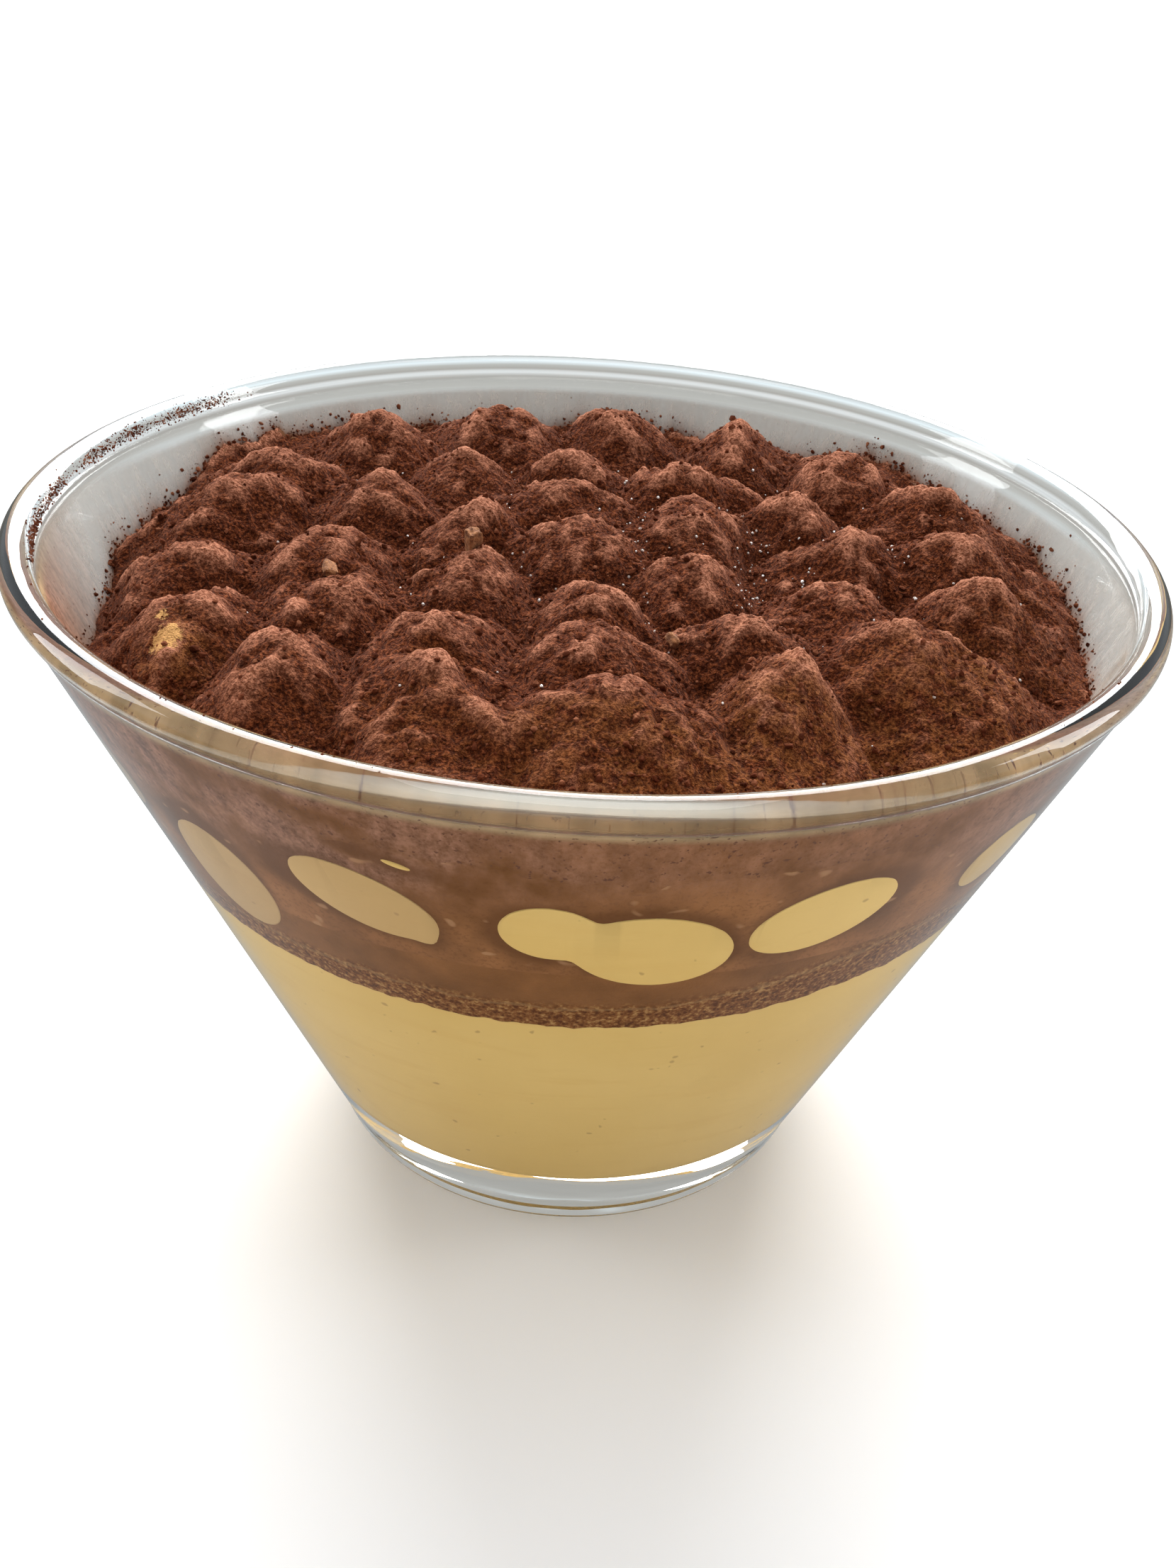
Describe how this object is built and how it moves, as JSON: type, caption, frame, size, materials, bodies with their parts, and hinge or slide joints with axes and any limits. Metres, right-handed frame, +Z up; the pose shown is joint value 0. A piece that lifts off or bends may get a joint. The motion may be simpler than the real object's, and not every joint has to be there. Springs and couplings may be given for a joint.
{
  "type": "tiramisu in a glass cup",
  "caption": "Layered coffee and mascarpone dessert in a conical clear glass cup: cream below, a soaked sponge layer, and piped cream dollops dusted with cocoa on top.",
  "frame": {"origin": "centre of the cup's foot, on the surface that the cup stands on", "axes": "+Z up along the cup's axis; -Y is the side that faces the viewer; +X is to the viewer's right"},
  "size_m": [0.12, 0.12, 0.0774],
  "materials": {
    "clear_glass": "clear pressed glass with a very slight green-grey tint, polished and smooth",
    "mascarpone_cream": "dense yellow-beige egg and mascarpone cream, soft satin, no grain",
    "soaked_sponge": "coffee-soaked sponge, dark brown, moist, with a crumbly lower edge",
    "cocoa_dusted_cream": "piped cream under a dry, matt, powdery coat of red-brown cocoa"
  },
  "bodies": {
    "root": {"glass_cup": "clear_glass", "lower_cream": "mascarpone_cream", "soaked_sponge": "soaked_sponge", "dollop_outer_01": "cocoa_dusted_cream", "dollop_outer_02": "cocoa_dusted_cream", "dollop_outer_03": "cocoa_dusted_cream", "dollop_outer_04": "cocoa_dusted_cream", "dollop_outer_05": "cocoa_dusted_cream", "dollop_outer_06": "cocoa_dusted_cream", "dollop_outer_07": "cocoa_dusted_cream", "dollop_outer_08": "cocoa_dusted_cream", "dollop_outer_09": "cocoa_dusted_cream", "dollop_outer_10": "cocoa_dusted_cream", "dollop_outer_11": "cocoa_dusted_cream", "dollop_outer_12": "cocoa_dusted_cream", "dollop_outer_13": "cocoa_dusted_cream", "dollop_outer_14": "cocoa_dusted_cream", "dollop_outer_15": "cocoa_dusted_cream", "dollop_outer_16": "cocoa_dusted_cream", "dollop_outer_17": "cocoa_dusted_cream", "dollop_middle_01": "cocoa_dusted_cream", "dollop_middle_02": "cocoa_dusted_cream", "dollop_middle_03": "cocoa_dusted_cream", "dollop_middle_04": "cocoa_dusted_cream", "dollop_middle_05": "cocoa_dusted_cream", "dollop_middle_06": "cocoa_dusted_cream", "dollop_middle_07": "cocoa_dusted_cream", "dollop_middle_08": "cocoa_dusted_cream", "dollop_middle_09": "cocoa_dusted_cream", "dollop_middle_10": "cocoa_dusted_cream", "dollop_middle_11": "cocoa_dusted_cream", "dollop_middle_12": "cocoa_dusted_cream", "dollop_inner_01": "cocoa_dusted_cream", "dollop_inner_02": "cocoa_dusted_cream", "dollop_inner_03": "cocoa_dusted_cream", "dollop_inner_04": "cocoa_dusted_cream", "dollop_inner_05": "cocoa_dusted_cream", "dollop_inner_06": "cocoa_dusted_cream", "dollop_centre_01": "cocoa_dusted_cream"}
  },
  "joints": []
}
